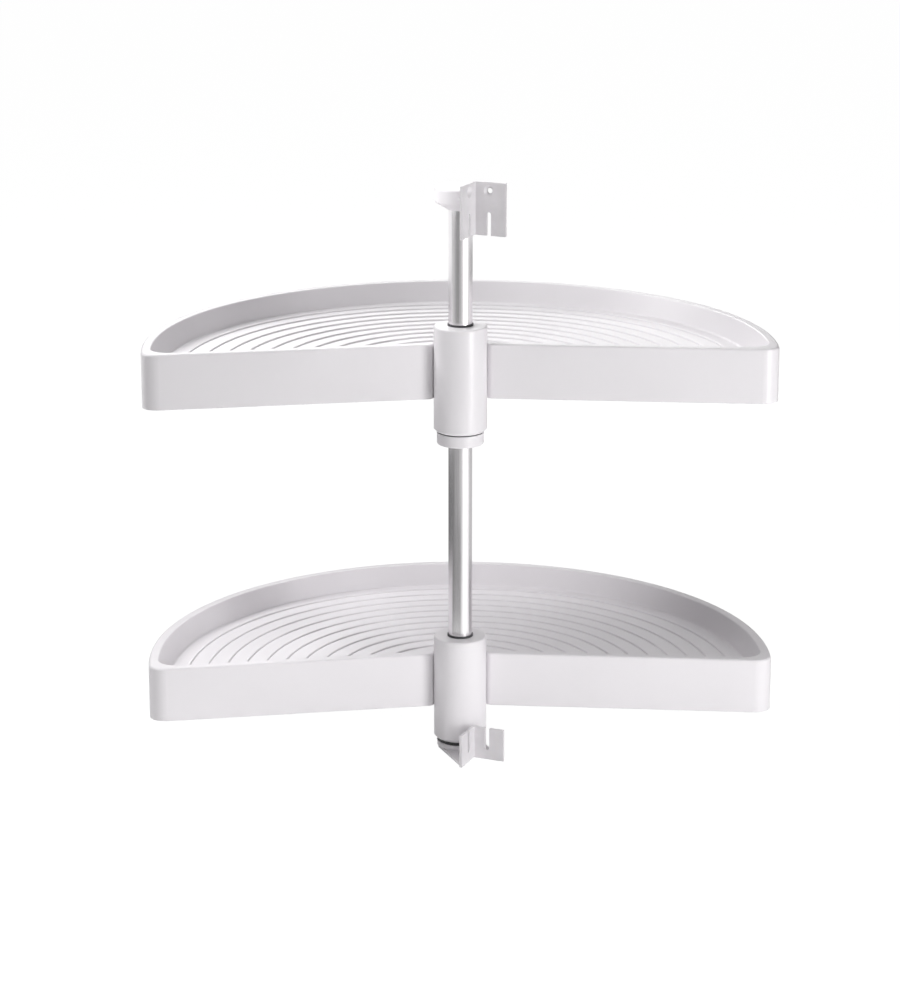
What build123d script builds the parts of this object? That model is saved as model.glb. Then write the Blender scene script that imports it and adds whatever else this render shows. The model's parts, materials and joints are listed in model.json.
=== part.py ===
from build123d import *
from math import cos, radians, sin, sqrt, tan
import os

# Half-moon swivel trays for a corner cabinet: two moulded trays turn on one
# upright post, which two bent brackets hold to the cabinet's stile.
# Millimetres. The origin is on the post's axis at the underside of the lower
# bracket. +Z is up, and the trays' straight fronts face -Y.

# Clearances
running_clearance = 0.05  # radial, between the post or rod and what slides or turns on it
seat_gap = 0.1  # between a turning hub and the ring that it sits on
fit_gap = 0.1  # round a piece that is dropped into another
screw_gap = 0.1  # radial, round a screw's shank

# Post
post_diameter = 27.0
post_wall = 1.5
post_top = 638.5

# Hubs
hub_diameter = 60.0
hub_height = 121.0
hub_bore = 35.0
hub_top_round = 2.0
hub_foot_chamfer = 3.0
hub_above_rim = 21.6
bush_length = 22.0
hub_lip_thickness = 6.0
bush_nose_wall = 1.0  # of the top bush's nose, which passes through the hub's lip
bush_nose_proud = 2.2  # above the hub's top

# Trays
tray_radius = 355.5
tray_height = 63.0
tray_spacing = 363.4
front_slope = 7.3  # degrees that each wing's front falls back towards the hub
front_apex = 2.1  # where the two fronts would meet, behind the post's axis
tray_corner_radius = 18.0
notch_radius = 7.0
rim_band = 11.0
rim_round = 2.5
tray_wall = 3.0
tray_foot_round = 1.0
floor_depth = 24.0
wall_draft = 25.0
cove_radius = 2.5
inner_corner_radius = 21.0
ridge_pitch = 21.4
ridge_count = 13
ridge_width = 3.2
ridge_height = 1.8
ridge_end_gap = 17.4  # from the hub, and from the foot of the inner wall
rib_thickness = 2.0
rib_foot = 9.0
rib_count = 7
rib_ring_radius = 190.0

# Screws between hub and tray
hub_screw_diameter = 4.0
hub_screw_length = 12.0
hub_screw_head_diameter = 8.0
hub_screw_head_height = 2.6
hub_screw_height = 12.0  # above the tray's foot
hub_screw_bay = 3  # counted from each front: the bay between ribs that holds a screw
screw_slot_width = 1.2
screw_slot_depth = 1.2

# Rings and collar on the post
base_ring_diameter = 53.0
base_ring_thickness = 5.2
base_washer_diameter = 50.0
base_washer_thickness = 4.3
ring_washer_diameter = 50.0
ring_washer_thickness = 1.5
collar_diameter = 53.0
collar_height = 13.4
collar_foot_round = 2.0
set_screw_diameter = 6.0
set_screw_recess = 1.0
socket_diameter = 3.0
socket_depth = 3.0

# Brackets
sheet = 3.0
bend_radius = 1.0
bracket_turn = 19.3  # degrees that the brackets are turned about the post
fold_reach = 42.4  # from the post's axis to the fold between the flanges
flange_length = 36.0
flange_corner_radius = 0.6
lower_flange_height = 37.3
upper_flange_height = 59.1
flange_above_head = 12.4
slot_width = 5.2
slot_length = 26.0
slot_reach = 16.0  # from the fold to the middle of a slot or hole
hole_diameter = 6.0
hole_drop = 9.6
boss_diameter = 13.0  # the back of the hollow round a hole
boss_height = 1.3
boss_slope = 45.0
arm_width = 26.0

# Foot of the post
plug_length = 26.0
plug_spigot_diameter = 10.0
pin_diameter = 4.0
pin_height = 17.0
pin_recess = 0.3

# Head, and the rod that telescopes in the post
head_diameter = 57.6
head_cone_height = 8.6
head_foot_wall = 0.9
head_round = 2.5
head_cone_round = 3.0
head_clearance = 0.15
cap_diameter = 46.0
cap_thickness = 3.0
nut_headroom = 1.0
post_in_head = 10.0
post_end_gap = 0.5
arm_rise = 4.2  # from the post's top to the bracket's arm
rod_diameter = 16.0
rod_length = 140.0
rod_chamfer = 1.0
spigot_diameter = 8.0
nut_height = 4.0
nut_flats = 13.0
guide_length = 44.0
clamp_screw_drop = 22.0  # below the post's top
clamp_screw_proud = 1.0

# Radii and heights that follow from the sizes above
post_radius = post_diameter / 2
post_bore_radius = post_radius - post_wall
hub_radius = hub_diameter / 2
recess_radius = hub_radius + fit_gap
base_washer_foot = sheet + base_ring_thickness
lower_hub_foot = base_washer_foot + base_washer_thickness + seat_gap
upper_hub_foot = lower_hub_foot + tray_spacing
tray_foot = hub_height - hub_above_rim - tray_height  # above its hub's foot
tray_floor = tray_height - floor_depth  # above the tray's foot
ring_washer_foot = upper_hub_foot - seat_gap - ring_washer_thickness
head_foot = post_top - post_in_head
arm_foot = post_top + arm_rise
arm_top = arm_foot + sheet
head_top = arm_top + nut_height + nut_headroom + cap_thickness
upper_flange_top = head_top + flange_above_head
half_spread = flange_length * sin(radians(45))

os.makedirs("parts", exist_ok=True)


def write(part, name):
    """Label a finished piece and write it under its own name."""
    part.label = name
    export_step(part, f"parts/{name}.step")


def sleeve(outer_radius, bore_radius, foot, height):
    """A plain round ring, such as a bush or a washer."""
    with BuildPart() as ring:
        with BuildSketch(Plane.XY.offset(foot)):
            Circle(outer_radius)
            Circle(bore_radius, mode=Mode.SUBTRACT)
        extrude(amount=height)
    return ring.part


def rear_plane(height):
    """Upright plane on the post's axis, looking out of the rear."""
    return Plane(origin=(0, 0, height), x_dir=(-1, 0, 0), z_dir=(0, 1, 0))


def set_screw(tip, end, height):
    """A socket set screw that points at the post from the rear."""
    with BuildPart() as screw:
        with BuildSketch(rear_plane(height).offset(tip)):
            Circle(set_screw_diameter / 2)
        extrude(amount=end - tip)
        with BuildSketch(rear_plane(height).offset(end)):
            RegularPolygon(socket_diameter / 2, 6)
        extrude(amount=-min(socket_depth, (end - tip) / 2), mode=Mode.SUBTRACT)
    return screw.part


# Post: one straight tube, with a hole through its foot for the pin and one
# near its top for the clamp screw
with BuildPart() as post:
    with BuildSketch(Plane.XY.offset(sheet)):
        Circle(post_radius)
        Circle(post_bore_radius, mode=Mode.SUBTRACT)
    extrude(amount=post_top - sheet)
    with BuildSketch(rear_plane(pin_height)):
        Circle(pin_diameter / 2)
    extrude(amount=post_diameter, both=True, mode=Mode.SUBTRACT)
    with BuildSketch(rear_plane(post_top - clamp_screw_drop)):
        Circle(set_screw_diameter / 2)
    extrude(amount=post_diameter, mode=Mode.SUBTRACT)
write(post.part, "post")

# Plug in the post's foot: its spigot is riveted flush in the lower bracket
with BuildPart() as plug:
    with BuildSketch(Plane.XY.offset(sheet)):
        Circle(post_bore_radius)
    extrude(amount=plug_length)
    with BuildSketch():
        Circle(plug_spigot_diameter / 2)
    extrude(amount=sheet)
    with BuildSketch(rear_plane(pin_height)):
        Circle(pin_diameter / 2)
    extrude(amount=post_diameter, both=True, mode=Mode.SUBTRACT)
write(plug.part, "post_foot_plug")

with BuildPart() as pin:
    with BuildSketch(rear_plane(pin_height)):
        Circle(pin_diameter / 2)
    extrude(amount=post_radius - pin_recess, both=True)
write(pin.part, "post_foot_pin")

# Ring on the lower bracket, and the washer between it and the lower hub
base_ring = sleeve(base_ring_diameter / 2, post_radius + fit_gap, sheet, base_ring_thickness)
write(base_ring, "base_ring")
base_washer = sleeve(
    base_washer_diameter / 2, post_radius + fit_gap, base_washer_foot, base_washer_thickness
)
write(base_washer, "base_washer")


def bracket_plane(height):
    """The brackets' own plan: +Y runs from the fold to the post's axis."""
    turn = radians(bracket_turn)
    return Plane(origin=(0, 0, height), x_dir=(cos(turn), sin(turn), 0), z_dir=(0, 0, 1))


def flange_plane(side, height):
    """Plane on a flange's front: +X from the fold to the free end, +Z out."""
    turn = radians(bracket_turn)
    fold = (fold_reach * sin(turn), -fold_reach * cos(turn), height)
    along = turn - radians(90 - 45 * side)
    outward = along - side * radians(90)
    return Plane(
        origin=fold,
        x_dir=(cos(along), sin(along), 0),
        z_dir=(cos(outward), sin(outward), 0),
    )


def flange_pair(height):
    """The two flanges from above: a right angle, open to the front."""
    back = sheet * sin(radians(45))
    front_bend = (0, -fold_reach)
    rear_bend = (0, -fold_reach + 2 * back)
    with BuildSketch(bracket_plane(height)) as plan:
        with BuildLine():
            Polyline(
                (-half_spread, -fold_reach - half_spread),
                front_bend,
                (half_spread, -fold_reach - half_spread),
                (half_spread + back, -fold_reach - half_spread + back),
                rear_bend,
                (-half_spread - back, -fold_reach - half_spread + back),
                close=True,
            )
        make_face()
        fillet(plan.vertices().sort_by_distance(front_bend)[0], radius=bend_radius)
        fillet(plan.vertices().sort_by_distance(rear_bend)[0], radius=bend_radius + sheet)
    return plan.sketch


def free_corners(part, side, height):
    """The short edges at one free corner of a flange."""
    corner = flange_plane(side, height).from_local_coords((flange_length, 0, -sheet / 2))
    return [edge for edge in part.edges() if (edge.center() - corner).length < sheet / 4]


# Lower bracket: a plate under the post, with two flanges bent up from its
# front edges, each with a slot that is open at its top
with BuildPart() as lower_bracket:
    with BuildSketch(bracket_plane(0)):
        with BuildLine():
            Polyline(
                (-half_spread, 0),
                (-half_spread, -fold_reach - half_spread),
                (0, -fold_reach),
                (half_spread, -fold_reach - half_spread),
                (half_spread, 0),
                close=True,
            )
        make_face()
        Circle(half_spread)
    extrude(amount=sheet)
    add(flange_pair(0))
    extrude(amount=lower_flange_height)
    for side in (-1, 1):
        fillet(free_corners(lower_bracket.part, side, lower_flange_height), radius=flange_corner_radius)
        with BuildSketch(flange_plane(side, lower_flange_height)):
            with Locations((slot_reach, 0)):
                SlotOverall(2 * slot_length, slot_width, rotation=90)
        extrude(amount=2 * sheet, both=True, mode=Mode.SUBTRACT)
    with BuildSketch():
        Circle(plug_spigot_diameter / 2)
    extrude(amount=sheet, mode=Mode.SUBTRACT)
write(lower_bracket.part, "lower_bracket")

# Upper bracket: taller flanges, each with a hole in a hollow that is pressed
# towards the rear and a slot that is open at its foot, and an arm from the
# fold to the post's axis
with BuildPart() as upper_bracket:
    upper_flange_foot = upper_flange_top - upper_flange_height
    add(flange_pair(upper_flange_foot))
    extrude(amount=upper_flange_height)
    for side in (-1, 1):
        for height in (upper_flange_foot, upper_flange_top):
            fillet(free_corners(upper_bracket.part, side, height), radius=flange_corner_radius)
        with BuildSketch(flange_plane(side, upper_flange_foot)):
            with Locations((slot_reach, 0)):
                SlotOverall(2 * slot_length, slot_width, rotation=90)
        extrude(amount=2 * sheet, both=True, mode=Mode.SUBTRACT)
        front = flange_plane(side, upper_flange_top - hole_drop)
        with BuildSketch(front.offset(-sheet)):
            with Locations((slot_reach, 0)):
                Circle(boss_diameter / 2)
        extrude(amount=-boss_height, taper=boss_slope)
        hole_centre = front.from_local_coords((slot_reach, 0, 0))
        with Locations(Plane(origin=hole_centre, x_dir=front.x_dir, z_dir=front.z_dir)):
            CounterSinkHole(hole_diameter / 2, hole_diameter / 2 + sheet, counter_sink_angle=90)
    with BuildSketch(bracket_plane(arm_foot)):
        front_edge = -fold_reach + sheet / 2
        with BuildLine():
            Polyline(
                (-arm_width / 2, 0),
                (-arm_width / 2, front_edge - arm_width / 2),
                (0, front_edge),
                (arm_width / 2, front_edge - arm_width / 2),
                (arm_width / 2, 0),
                close=True,
            )
        make_face()
        Circle(arm_width / 2)
        Circle(spigot_diameter / 2 + fit_gap, mode=Mode.SUBTRACT)
    extrude(amount=sheet)
write(upper_bracket.part, "upper_bracket")

# Head: a housing round the post's end and the bracket's arm, closed by a cap
with BuildPart() as head:
    bore = post_radius + head_clearance
    shoulder = (head_diameter / 2, head_top)
    cone_edge = (head_diameter / 2, head_foot + head_cone_height)
    with BuildSketch(Plane.XZ) as section:
        with BuildLine():
            Polyline(
                (bore, head_foot),
                (bore + head_foot_wall, head_foot),
                cone_edge,
                shoulder,
                (cap_diameter / 2 + fit_gap, head_top),
                (cap_diameter / 2 + fit_gap, head_top - cap_thickness),
                (arm_width / 2 + fit_gap, head_top - cap_thickness),
                (arm_width / 2 + fit_gap, arm_foot),
                (rod_diameter / 2 + fit_gap, arm_foot),
                (rod_diameter / 2 + fit_gap, post_top + post_end_gap),
                (bore, post_top + post_end_gap),
                close=True,
            )
        make_face()
        fillet(section.vertices().sort_by_distance(shoulder)[0], radius=head_round)
        fillet(section.vertices().sort_by_distance(cone_edge)[0], radius=head_cone_round)
    revolve(axis=Axis.Z)
    with BuildSketch(bracket_plane(arm_foot)):
        with Locations((0, -head_diameter / 2)):
            Rectangle(arm_width + 2 * fit_gap, head_diameter)
    extrude(amount=sheet + fit_gap, mode=Mode.SUBTRACT)
write(head.part, "head")

with BuildPart() as head_cap:
    with BuildSketch(Plane.XY.offset(head_top - cap_thickness)):
        Circle(cap_diameter / 2)
    extrude(amount=cap_thickness)
write(head_cap.part, "head_cap")

# Rod: it hangs from the arm and slides in the guide inside the post
with BuildPart() as rod:
    with BuildSketch(Plane.XY.offset(arm_foot - rod_length)):
        Circle(rod_diameter / 2)
    extrude(amount=rod_length)
    chamfer(rod.edges().sort_by(Axis.Z)[0], length=rod_chamfer)
    with BuildSketch(Plane.XY.offset(arm_foot)):
        Circle(spigot_diameter / 2)
    extrude(amount=sheet + nut_height)
write(rod.part, "rod")

with BuildPart() as rod_nut:
    with BuildSketch(Plane.XY.offset(arm_top)):
        RegularPolygon(nut_flats / 2, 6, major_radius=False)
        Circle(spigot_diameter / 2, mode=Mode.SUBTRACT)
    extrude(amount=nut_height)
write(rod_nut.part, "rod_nut")

clamp_height = post_top - clamp_screw_drop
with BuildPart() as rod_guide:
    with BuildSketch(Plane.XY.offset(post_top - guide_length)):
        Circle(post_bore_radius)
        Circle(rod_diameter / 2 + running_clearance, mode=Mode.SUBTRACT)
    extrude(amount=guide_length)
    with BuildSketch(rear_plane(clamp_height)):
        Circle(set_screw_diameter / 2)
    extrude(amount=post_diameter, mode=Mode.SUBTRACT)
write(rod_guide.part, "rod_guide")

clamp_screw = set_screw(rod_diameter / 2 + fit_gap, post_radius + clamp_screw_proud, clamp_height)
write(clamp_screw, "rod_clamp_screw")

# Support collar under the upper hub, with its set screw and washer
with BuildPart() as collar:
    collar_foot = ring_washer_foot - collar_height
    collar_middle = collar_foot + collar_height / 2
    with BuildSketch(Plane.XY.offset(collar_foot)):
        Circle(collar_diameter / 2)
    extrude(amount=collar_height)
    fillet(collar.edges().sort_by(Axis.Z)[0], radius=collar_foot_round)
    with BuildSketch(Plane.XY.offset(collar_foot)):
        Circle(post_radius + running_clearance)
    extrude(amount=collar_height, mode=Mode.SUBTRACT)
    with BuildSketch(rear_plane(collar_middle)):
        Circle(set_screw_diameter / 2)
    extrude(amount=collar_diameter, mode=Mode.SUBTRACT)
write(collar.part, "support_collar")

collar_screw = set_screw(post_radius + fit_gap, collar_diameter / 2 - set_screw_recess, collar_middle)
write(collar_screw, "collar_set_screw")

ring_washer = sleeve(
    ring_washer_diameter / 2, post_radius + fit_gap, ring_washer_foot, ring_washer_thickness
)
write(ring_washer, "ring_washer")


def half_moon(inset, corner, recess):
    """Tray plan drawn in by inset: an arc round the post and two straight fronts.

    corner rounds the two outer corners. recess is the radius of the hole for
    the hub, with rounded corners where it meets the fronts, or 0 for none.
    """
    slope = tan(radians(front_slope))
    apex = front_apex + inset / cos(radians(front_slope))
    radius = tray_radius - inset
    reach = (apex * slope + sqrt(radius**2 * (1 + slope**2) - apex**2)) / (1 + slope**2)
    end = apex - slope * reach
    with BuildSketch() as plan:
        with BuildLine():
            Polyline((-reach, end), (0, apex), (reach, end))
            ThreePointArc((reach, end), (0, radius), (-reach, end))
        make_face()
        fillet(plan.vertices().group_by(Axis.Y)[0], radius=corner)
        if recess:
            Circle(recess, mode=Mode.SUBTRACT)
            mouth = plan.vertices().filter_by(lambda v: abs(v.X) < recess and v.Y < apex)
            fillet(mouth, radius=notch_radius - inset)
        else:
            fillet(plan.vertices().sort_by_distance((0, apex))[0], radius=hub_diameter)
    return plan.sketch


def hollow(thickness):
    """The space above the floor, grown by thickness: drafted, with a cove at its foot."""
    with BuildPart() as space:
        with BuildSketch(Plane.XY.offset(tray_height)):
            add(half_moon(rim_band - thickness, inner_corner_radius + thickness, 0))
        extrude(amount=-floor_depth - thickness, taper=wall_draft)
        fillet(space.faces().sort_by(Axis.Z)[0].edges(), radius=cove_radius + thickness)
    return space.part


# Space above a tray's floor, flared at its top by the rim's inner rounding
with BuildPart() as frame:
    with BuildSketch():
        add(half_moon(0, tray_corner_radius, 0))
    extrude(amount=tray_height)
    add(hollow(0), mode=Mode.SUBTRACT)
    rim = frame.faces().filter_by(Axis.Z).sort_by(Axis.Z)[-1]
    fillet(rim.inner_wires()[0].edges(), radius=rim_round)
with BuildPart() as flared_hollow:
    with BuildSketch():
        add(half_moon(0, tray_corner_radius, 0))
    extrude(amount=tray_height)
    add(frame.part, mode=Mode.SUBTRACT)

# Space under a tray's floor and inside its double rim
with BuildPart() as underside:
    with BuildSketch():
        add(half_moon(tray_wall, tray_corner_radius - tray_wall, recess_radius + tray_wall))
    extrude(amount=tray_height - tray_wall)
    add(hollow(tray_wall), mode=Mode.SUBTRACT)

# Ribs under a tray's floor: radial ones and one arc
rib_step = 180 / (rib_count + 1)
with BuildPart() as ribs:
    with BuildSketch(Plane.XY.offset(rib_foot)):
        Circle(rib_ring_radius + rib_thickness / 2)
        Circle(rib_ring_radius - rib_thickness / 2, mode=Mode.SUBTRACT)
        for number in range(rib_count):
            with Locations(Rotation(0, 0, rib_step * (number + 1))):
                Rectangle(tray_radius, rib_thickness, align=(Align.MIN, Align.CENTER))
    extrude(amount=tray_floor - rib_foot)
    add(underside.part, mode=Mode.INTERSECT)

# Ridges in a tray's floor, on circles about the post
cove_reach = cove_radius * tan(radians(45 - wall_draft / 2))
floor_inset = rim_band + floor_depth * tan(radians(wall_draft)) + cove_reach
last_ridge = tray_radius - floor_inset - ridge_end_gap
with BuildPart() as ridges:
    with BuildSketch(Plane.XZ):
        for number in range(ridge_count):
            with Locations((last_ridge - ridge_pitch * number, tray_floor)):
                Ellipse(ridge_width / 2, ridge_height)
    revolve(axis=Axis.Z)
    with BuildSketch(Plane.XY.offset(tray_floor - ridge_height)):
        add(half_moon(floor_inset, inner_corner_radius, 0))
        Circle(hub_radius + ridge_end_gap / 2, mode=Mode.SUBTRACT)
    extrude(amount=2 * ridge_height, mode=Mode.INTERSECT)

# Places of the two screws on a hub, as planes that look out from the post,
# each in the middle of a bay between ribs
screw_planes = []
for side in (-1, 1):
    turn = radians(rib_step * (hub_screw_bay - 0.5))
    outward = (side * cos(turn), sin(turn), 0)
    across = (sin(turn), -side * cos(turn), 0)
    screw_planes.append(Plane(origin=(0, 0, hub_screw_height), x_dir=across, z_dir=outward))
screw_seat = recess_radius + tray_wall

# Tray, with its foot at Z 0
with BuildPart() as tray:
    with BuildSketch():
        add(half_moon(0, tray_corner_radius, recess_radius))
    extrude(amount=tray_height)
    fillet(tray.faces().sort_by(Axis.Z)[-1].edges(), radius=rim_round)
    fillet(tray.faces().sort_by(Axis.Z)[0].edges(), radius=tray_foot_round)
    add(flared_hollow.part, mode=Mode.SUBTRACT)
    add(underside.part, mode=Mode.SUBTRACT)
    add(ribs.part)
    add(ridges.part)
    for plane in screw_planes:
        with BuildSketch(plane):
            Circle(hub_screw_diameter / 2 + screw_gap)
        extrude(amount=screw_seat + hub_screw_head_height, mode=Mode.SUBTRACT)

# Hub, with the tray's foot at Z 0. The lip over its bore stops the top bush
bush_bore_radius = post_radius + running_clearance
nose_radius = bush_bore_radius + bush_nose_wall
with BuildPart() as hub:
    with BuildSketch(Plane.XY.offset(-tray_foot)):
        Circle(hub_radius)
    extrude(amount=hub_height)
    fillet(hub.edges().sort_by(Axis.Z)[-1], radius=hub_top_round)
    chamfer(hub.edges().sort_by(Axis.Z)[0], length=hub_foot_chamfer)
    with BuildSketch(Plane.XY.offset(-tray_foot)):
        Circle(hub_bore / 2)
    extrude(amount=hub_height - hub_lip_thickness, mode=Mode.SUBTRACT)
    with BuildSketch(Plane.XY.offset(-tray_foot)):
        Circle(nose_radius)
    extrude(amount=hub_height, mode=Mode.SUBTRACT)
    for plane in screw_planes:
        with BuildSketch(plane.offset(screw_seat - hub_screw_length)):
            Circle(hub_screw_diameter / 2 + screw_gap)
        extrude(amount=hub_screw_length, mode=Mode.SUBTRACT)

# The two screws, with slotted heads on the sleeve behind the hub
with BuildPart() as hub_screws:
    for plane in screw_planes:
        with BuildSketch(plane.offset(screw_seat - hub_screw_length)):
            Circle(hub_screw_diameter / 2)
        extrude(amount=hub_screw_length)
        with BuildSketch(plane.offset(screw_seat)):
            Circle(hub_screw_head_diameter / 2)
        extrude(amount=hub_screw_head_height)
        with BuildSketch(plane.offset(screw_seat + hub_screw_head_height)):
            Rectangle(hub_screw_head_diameter, screw_slot_width)
        extrude(amount=-screw_slot_depth, mode=Mode.SUBTRACT)

# The two bushes in a hub's bore. The top one's nose shows as a dark ring round
# the post
top_bush_foot = hub_height - tray_foot - hub_lip_thickness - bush_length
foot_bush = sleeve(hub_bore / 2, bush_bore_radius, -tray_foot, bush_length)
with BuildPart() as top_bush:
    add(sleeve(hub_bore / 2, bush_bore_radius, top_bush_foot, bush_length))
    nose_height = hub_lip_thickness + bush_nose_proud
    add(sleeve(nose_radius, bush_bore_radius, top_bush_foot + bush_length, nose_height))

# Both trays, each with its hub, bushes and screws, are alike
pieces = {
    "tray": tray.part,
    "hub": hub.part,
    "hub_top_bush": top_bush.part,
    "hub_foot_bush": foot_bush,
    "hub_screws": hub_screws.part,
}
for level, hub_foot in (("lower", lower_hub_foot), ("upper", upper_hub_foot)):
    for name, piece in pieces.items():
        write(piece.moved(Location((0, 0, hub_foot + tray_foot))), f"{level}_{name}")
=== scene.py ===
"""Looks for the half-moon swivel basket: materials, lights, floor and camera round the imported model."""

import json
import math

import bpy
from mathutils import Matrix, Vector

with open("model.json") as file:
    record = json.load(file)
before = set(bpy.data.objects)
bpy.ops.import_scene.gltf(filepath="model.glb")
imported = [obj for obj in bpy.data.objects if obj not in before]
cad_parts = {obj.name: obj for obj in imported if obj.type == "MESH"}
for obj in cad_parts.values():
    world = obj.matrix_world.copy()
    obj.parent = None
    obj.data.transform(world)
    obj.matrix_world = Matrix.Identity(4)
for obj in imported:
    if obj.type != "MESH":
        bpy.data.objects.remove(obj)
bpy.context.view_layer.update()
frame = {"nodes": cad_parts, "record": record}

# Camera, in metres and degrees in the row frame
CAMERA_PLACE = (-0.1543, -3.2331, 1.2238)
CAMERA_HEADING = -2.526  # from +Y, positive to the left
CAMERA_PITCH = -14.10
CAMERA_LENS = 119.0
CAMERA_SENSOR = 36.0
CAMERA_SHIFT_Y = -0.111
CAMERA_NEAREST = 0.1
CAMERA_FARTHEST = 100.0

# Colours, linear
WHITE_PLASTIC = (0.87, 0.845, 0.87)
POST_METAL = (0.90, 0.88, 0.895)
BRACKET_GREY = (0.74, 0.718, 0.74)
ZINC = (0.58, 0.58, 0.60)
BLACK_OXIDE = (0.05, 0.05, 0.055)
# Painted shade, in part: the black parts at the hubs are made black where the gaps there are in shade
BLACK_PLASTIC_AND_SHADE = (0.018, 0.018, 0.018)
# Painted shade, in part: the bushes in the hub bores are made dark where the bores are in shade
DARK_PLASTIC_AND_SHADE = (0.05, 0.05, 0.055)
FLOOR_WHITE = (0.90, 0.90, 0.90)

# Floor, world and the point that the lamps face
FLOOR_HALF = 30.0
FLOOR_ROUGHNESS = 0.9
FLOOR_GLOW = 1.1  # times the share, about 1, which is white
FLOOR_GLOW_SHARE = 0.9  # the rest keeps the object's shadow
WORLD_STRENGTH = 0.03
AIM = Vector((0.0, 0.0, 0.33))

# Cards that only reflections see, for the bands along the post. Azimuths from and to
# are in degrees, with 0 at the front and 90 at the right; foot, top and radius are in metres
CARD_STEP = 4  # degrees
REFLECTION_CARDS = (
    # first, last, foot, top, radius, brightness
    (-180, -60, 0.00, 0.25, 0.5, 0.20),
    (-60, -40, 0.00, 0.25, 0.5, 0.38),
    (-40, -12, 0.00, 0.25, 0.5, 0.40),
    (-12, 4, 0.00, 0.25, 0.5, 0.58),
    (-100, -60, 0.00, 0.16, 0.4, 0.20),
    (-60, 4, 0.00, 0.16, 0.4, 0.27),
    (4, 18, 0.00, 0.62, 0.5, 0.62),
    (88, 180, 0.00, 0.25, 0.5, 0.60),
    (-92, -60, 0.25, 0.62, 0.5, 0.60),
    (-60, -40, 0.25, 0.62, 0.5, 0.38),
    (-40, -12, 0.25, 0.62, 0.5, 0.30),
    (-12, 4, 0.25, 0.62, 0.5, 0.50),
    (74, 88, 0.25, 0.50, 0.5, 0.70),
    (88, 180, 0.25, 0.50, 0.5, 0.42),
)

# Lamps. Azimuth and elevation are in degrees, the other sizes in metres and the strength in watts
AIMED_LIGHTS = (
    # name, azimuth, elevation, distance, width, height, strength
    ("right_low", 45, -2, 2.0, 0.5, 0.5, 14),
    ("right_middle", 45, 15, 2.2, 0.7, 1.0, 10.5),
    ("left_top", -110, 45, 2.6, 1.4, 1.4, 50),
    ("back_top", 180, 30, 2.6, 1.4, 1.0, 19),
)
PLACED_LIGHTS = (
    # name, place, facing, width, height, strength
    ("front_down", (0.0, -0.85, 0.42), (0.0, 0.0, -1.0), 1.2, 0.5, 3.5),
    ("over_near", (0.0, -0.1, 1.3), (0.0, 0.1, -1.0), 0.5, 0.5, 1.0),
    ("head_near", (-0.35, -0.35, 1.15), (0.35, 0.35, -0.55), 0.3, 0.3, 1.0),
    ("head_fill", (-0.14, -0.08, 0.66), (0.14, 0.08, -0.02), 0.08, 0.08, 0.06),
)


def node(tree, kind, **values):
    """Adds a shader node; names that are sockets set those, other names set the node's own fields."""
    made = tree.nodes.new(kind)
    for name, value in values.items():
        socket = made.inputs.get(name.replace("_", " "))
        if socket is None:
            setattr(made, name, value)
        else:
            socket.default_value = value
    return made


def new_material(name):
    """A material with its Principled shader and object coordinates: (material, tree, shader, coordinates)."""
    made = bpy.data.materials.new(name)
    made.use_nodes = True
    tree = made.node_tree
    tree.nodes.clear()
    output = tree.nodes.new("ShaderNodeOutputMaterial")
    shader = tree.nodes.new("ShaderNodeBsdfPrincipled")
    tree.links.new(shader.outputs["BSDF"], output.inputs["Surface"])
    coordinates = tree.nodes.new("ShaderNodeTexCoord").outputs["Object"]
    return made, tree, shader, coordinates


def noise(tree, vector, scale, detail=3.0, stretch=None):
    """Noise between 0 and 1, its scale in features a metre, drawn out where stretch is under 1."""
    if stretch:
        mapping = node(tree, "ShaderNodeMapping", Scale=stretch)
        tree.links.new(vector, mapping.inputs["Vector"])
        vector = mapping.outputs["Vector"]
    made = node(tree, "ShaderNodeTexNoise", Scale=scale, Detail=detail)
    tree.links.new(vector, made.inputs["Vector"])
    return made.outputs["Fac"]


def spread(tree, value, low, high):
    """The 0.3 to 0.7 of a noise, spread between two values."""
    made = node(tree, "ShaderNodeMapRange", From_Min=0.3, From_Max=0.7, To_Min=low, To_Max=high)
    tree.links.new(value, made.inputs["Value"])
    return made.outputs["Result"]


def tint(tree, factor, first, second):
    """A colour between two, by a factor."""
    made = node(tree, "ShaderNodeMix", data_type="RGBA")
    tree.links.new(factor, made.inputs["Factor"])
    made.inputs[6].default_value = (*first, 1.0)
    made.inputs[7].default_value = (*second, 1.0)
    return made.outputs[2]


def bump(tree, height, distance, strength=1.0, under=None):
    """A bump from a height of 0 to 1, distance metres deep."""
    made = node(tree, "ShaderNodeBump", Strength=strength, Distance=distance)
    tree.links.new(height, made.inputs["Height"])
    if under:
        tree.links.new(under, made.inputs["Normal"])
    return made.outputs["Normal"]


def shaded(colour, amount):
    """A colour made lighter or darker by an amount."""
    return tuple(channel * amount for channel in colour)


def moulded_plastic(name, colour, roughness, grain, depth):
    """Moulded plastic: a fine grain, slow waves of gloss and a little variation of colour."""
    made, tree, shader, place = new_material(name)
    cloud = spread(tree, noise(tree, place, 9.0), 0.0, 1.0)
    colours = tint(tree, cloud, shaded(colour, 0.985), shaded(colour, 1.012))
    tree.links.new(colours, shader.inputs["Base Color"])
    gloss = spread(tree, noise(tree, place, 40.0, detail=4.0), roughness * 0.88, roughness * 1.12)
    tree.links.new(gloss, shader.inputs["Roughness"])
    wave = bump(tree, noise(tree, place, 14.0, detail=1.0), distance=0.0004, strength=0.25)
    grains = bump(tree, noise(tree, place, grain, detail=2.0), depth, strength=0.6, under=wave)
    tree.links.new(grains, shader.inputs["Normal"])
    shader.inputs["Specular IOR Level"].default_value = 0.5
    return made


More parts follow.
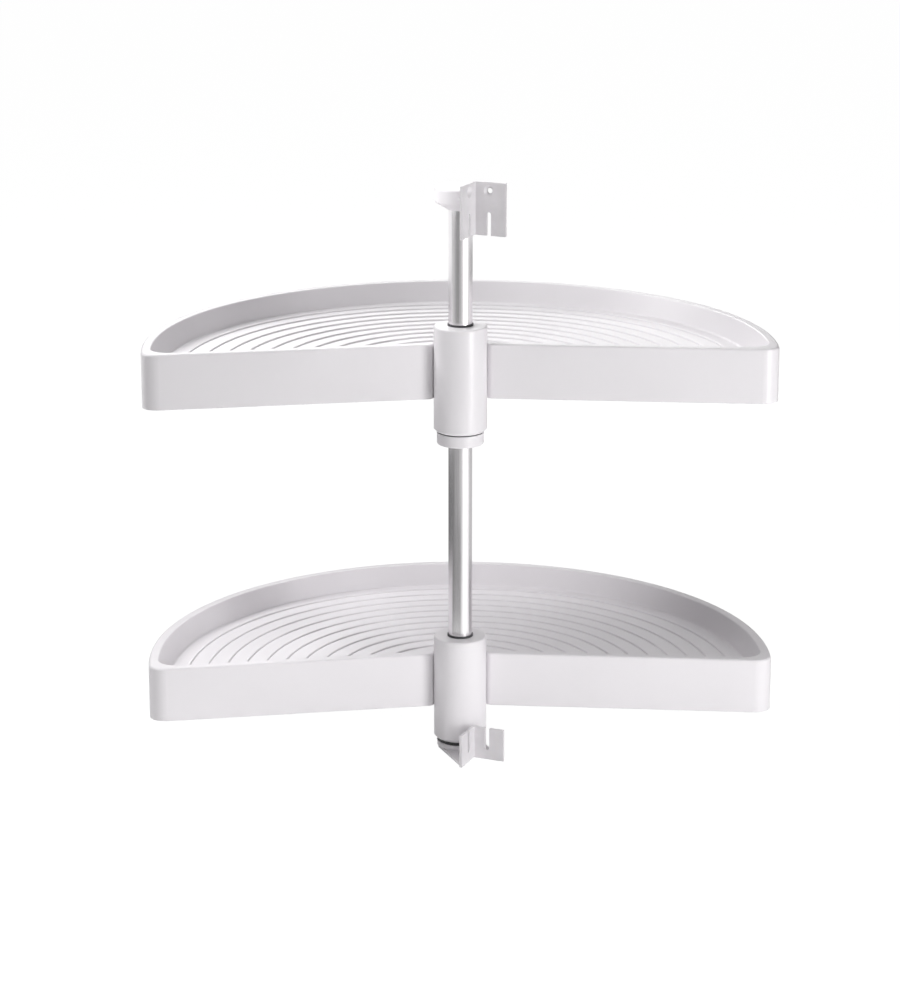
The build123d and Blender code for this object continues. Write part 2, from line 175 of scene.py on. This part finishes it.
def drawn_metal(name, colour, roughness):
    """Plated drawn tube: fine lines along Z and slow changes of gloss."""
    made, tree, shader, place = new_material(name)
    shader.inputs["Metallic"].default_value = 1.0
    lines = noise(tree, place, 900.0, stretch=(1.0, 1.0, 0.02))
    cloud = spread(tree, lines, 0.0, 1.0)
    colours = tint(tree, cloud, shaded(colour, 0.95), shaded(colour, 1.04))
    tree.links.new(colours, shader.inputs["Base Color"])
    gloss = spread(tree, noise(tree, place, 25.0), roughness * 0.9, roughness * 1.1)
    tree.links.new(gloss, shader.inputs["Roughness"])
    tree.links.new(bump(tree, lines, distance=0.00003, strength=0.35), shader.inputs["Normal"])
    return made


def coated_steel(name, colour, roughness, metallic):
    """Sheet steel with a thin coat: rolled grain, a few paler rubs and slow changes of gloss."""
    made, tree, shader, place = new_material(name)
    shader.inputs["Metallic"].default_value = metallic
    grain = noise(tree, place, 700.0, detail=4.0, stretch=(1.0, 1.0, 0.15))
    cloud = spread(tree, noise(tree, place, 60.0, detail=4.0), 0.0, 1.0)
    colours = tint(tree, cloud, shaded(colour, 0.96), shaded(colour, 1.05))
    tree.links.new(colours, shader.inputs["Base Color"])
    gloss = spread(tree, grain, roughness * 0.85, roughness * 1.2)
    tree.links.new(gloss, shader.inputs["Roughness"])
    tree.links.new(bump(tree, grain, distance=0.00004, strength=0.4), shader.inputs["Normal"])
    return made


MATERIALS = {
    "white_plastic": moulded_plastic("white_plastic_look", WHITE_PLASTIC, 0.34, grain=1600.0, depth=0.00004),
    # black plastic, partly painted shade in the gaps at the hubs
    "black_plastic": moulded_plastic("black_plastic_and_shade_look", BLACK_PLASTIC_AND_SHADE, 0.5, grain=1200.0, depth=0.00006),
    # dark plastic, partly painted shade in the hub bores
    "dark_plastic": moulded_plastic("dark_plastic_and_shade_look", DARK_PLASTIC_AND_SHADE, 0.5, grain=1200.0, depth=0.00006),
    "post_metal": drawn_metal("post_metal_look", POST_METAL, 0.24),
    "bracket_steel": coated_steel("bracket_steel_look", BRACKET_GREY, 0.42, metallic=0.0),
    "grey_steel": coated_steel("grey_steel_look", ZINC, 0.32, metallic=1.0),
    "dark_steel": coated_steel("dark_steel_look", BLACK_OXIDE, 0.4, metallic=1.0),
}
for part in frame["record"]["subparts"]:
    for material_slot in frame["nodes"][part["node"]].material_slots:
        material_slot.material = MATERIALS[part["material_slot"]]


def white_floor(name):
    """A floor that the camera sees as white, with the object's shadow left faint on it."""
    made, tree, shader, _ = new_material(name)
    output = shader.outputs["BSDF"].links[0].to_node
    shader.inputs["Base Color"].default_value = (*FLOOR_WHITE, 1.0)
    shader.inputs["Roughness"].default_value = FLOOR_ROUGHNESS
    path = tree.nodes.new("ShaderNodeLightPath")
    seen = node(tree, "ShaderNodeMath", operation="MAXIMUM")
    tree.links.new(path.outputs["Is Camera Ray"], seen.inputs[0])
    tree.links.new(path.outputs["Is Glossy Ray"], seen.inputs[1])
    seen_too = node(tree, "ShaderNodeMath", operation="MAXIMUM")
    tree.links.new(seen.outputs[0], seen_too.inputs[0])
    tree.links.new(path.outputs["Is Transmission Ray"], seen_too.inputs[1])
    share = node(tree, "ShaderNodeMath", operation="MULTIPLY")
    tree.links.new(seen_too.outputs[0], share.inputs[0])
    share.inputs[1].default_value = FLOOR_GLOW_SHARE
    glow = node(tree, "ShaderNodeEmission", Strength=FLOOR_GLOW)
    mixed = tree.nodes.new("ShaderNodeMixShader")
    tree.links.new(share.outputs[0], mixed.inputs[0])
    tree.links.new(shader.outputs["BSDF"], mixed.inputs[1])
    tree.links.new(glow.outputs["Emission"], mixed.inputs[2])
    tree.links.new(mixed.outputs["Shader"], output.inputs["Surface"])
    return made


bpy.ops.mesh.primitive_plane_add(size=2 * FLOOR_HALF, location=(0, 0, 0))
floor = bpy.context.object
floor.name = "studio_floor"
floor.data.materials.append(white_floor("floor_look"))


def reflection_card(name, first, last, foot, top, radius, brightness):
    """An upright curved card that only glossy rays meet, so that it casts no shadow."""
    made = bpy.data.materials.new(name + "_look")
    made.use_nodes = True
    tree = made.node_tree
    tree.nodes.clear()
    glow = node(tree, "ShaderNodeEmission", Strength=brightness)
    output = tree.nodes.new("ShaderNodeOutputMaterial")
    tree.links.new(glow.outputs["Emission"], output.inputs["Surface"])
    steps = round((last - first) / CARD_STEP)
    points = []
    for number in range(steps + 1):
        azimuth = math.radians(first + (last - first) * number / steps)
        x, y = radius * math.sin(azimuth), -radius * math.cos(azimuth)
        points += [(x, y, foot), (x, y, top)]
    faces = [(2 * number, 2 * number + 2, 2 * number + 3, 2 * number + 1) for number in range(steps)]
    mesh = bpy.data.meshes.new(name)
    mesh.from_pydata(points, [], faces)
    mesh.materials.append(made)
    card = bpy.data.objects.new(name, mesh)
    bpy.context.scene.collection.objects.link(card)
    card.visible_camera = False
    card.visible_diffuse = False
    card.visible_transmission = False
    card.visible_shadow = False


for card_number, card_values in enumerate(REFLECTION_CARDS):
    reflection_card(f"card_{card_number}", *card_values)


def soft_light(name, place, facing, width, height, strength):
    """A rectangular lamp that faces along a direction."""
    data = bpy.data.lights.new(name, "AREA")
    data.shape = "RECTANGLE"
    data.size = width
    data.size_y = height
    data.energy = strength
    lamp = bpy.data.objects.new(name, data)
    lamp.location = place
    lamp.rotation_mode = "QUATERNION"
    lamp.rotation_quaternion = facing.to_track_quat("-Z", "Y")
    lamp.visible_camera = False
    bpy.context.scene.collection.objects.link(lamp)


def aimed_light(name, azimuth, elevation, distance, width, height, strength):
    """A lamp that faces the object. Azimuth 0 is the front and 90 the right."""
    turn, lift = math.radians(azimuth), math.radians(elevation)
    outward = Vector((math.sin(turn) * math.cos(lift), -math.cos(turn) * math.cos(lift), math.sin(lift)))
    soft_light(name, AIM + outward * distance, -outward, width, height, strength)


for light in AIMED_LIGHTS:
    aimed_light(*light)
for light_name, light_place, light_facing, *light_values in PLACED_LIGHTS:
    soft_light(light_name, Vector(light_place), Vector(light_facing), *light_values)

world = bpy.data.worlds.new("studio")
bpy.context.scene.world = world
world.use_nodes = True
sky = world.node_tree
sky.nodes.clear()
sky_out = sky.nodes.new("ShaderNodeOutputWorld")
fill = node(sky, "ShaderNodeBackground", Strength=WORLD_STRENGTH)
fill.inputs["Color"].default_value = (1.0, 1.0, 1.0, 1.0)
sky.links.new(fill.outputs["Background"], sky_out.inputs["Surface"])

camera_data = bpy.data.cameras.new("camera")
camera = bpy.data.objects.new("camera", camera_data)
bpy.context.scene.collection.objects.link(camera)
camera.location = CAMERA_PLACE
camera.rotation_euler = (math.radians(90 + CAMERA_PITCH), 0, math.radians(CAMERA_HEADING))
camera_data.sensor_fit = "HORIZONTAL"
camera_data.sensor_width = CAMERA_SENSOR
camera_data.lens = CAMERA_LENS
camera_data.shift_y = CAMERA_SHIFT_Y
camera_data.clip_start = CAMERA_NEAREST
camera_data.clip_end = CAMERA_FARTHEST
bpy.context.scene.camera = camera

bpy.context.scene.view_settings.view_transform = "Standard"
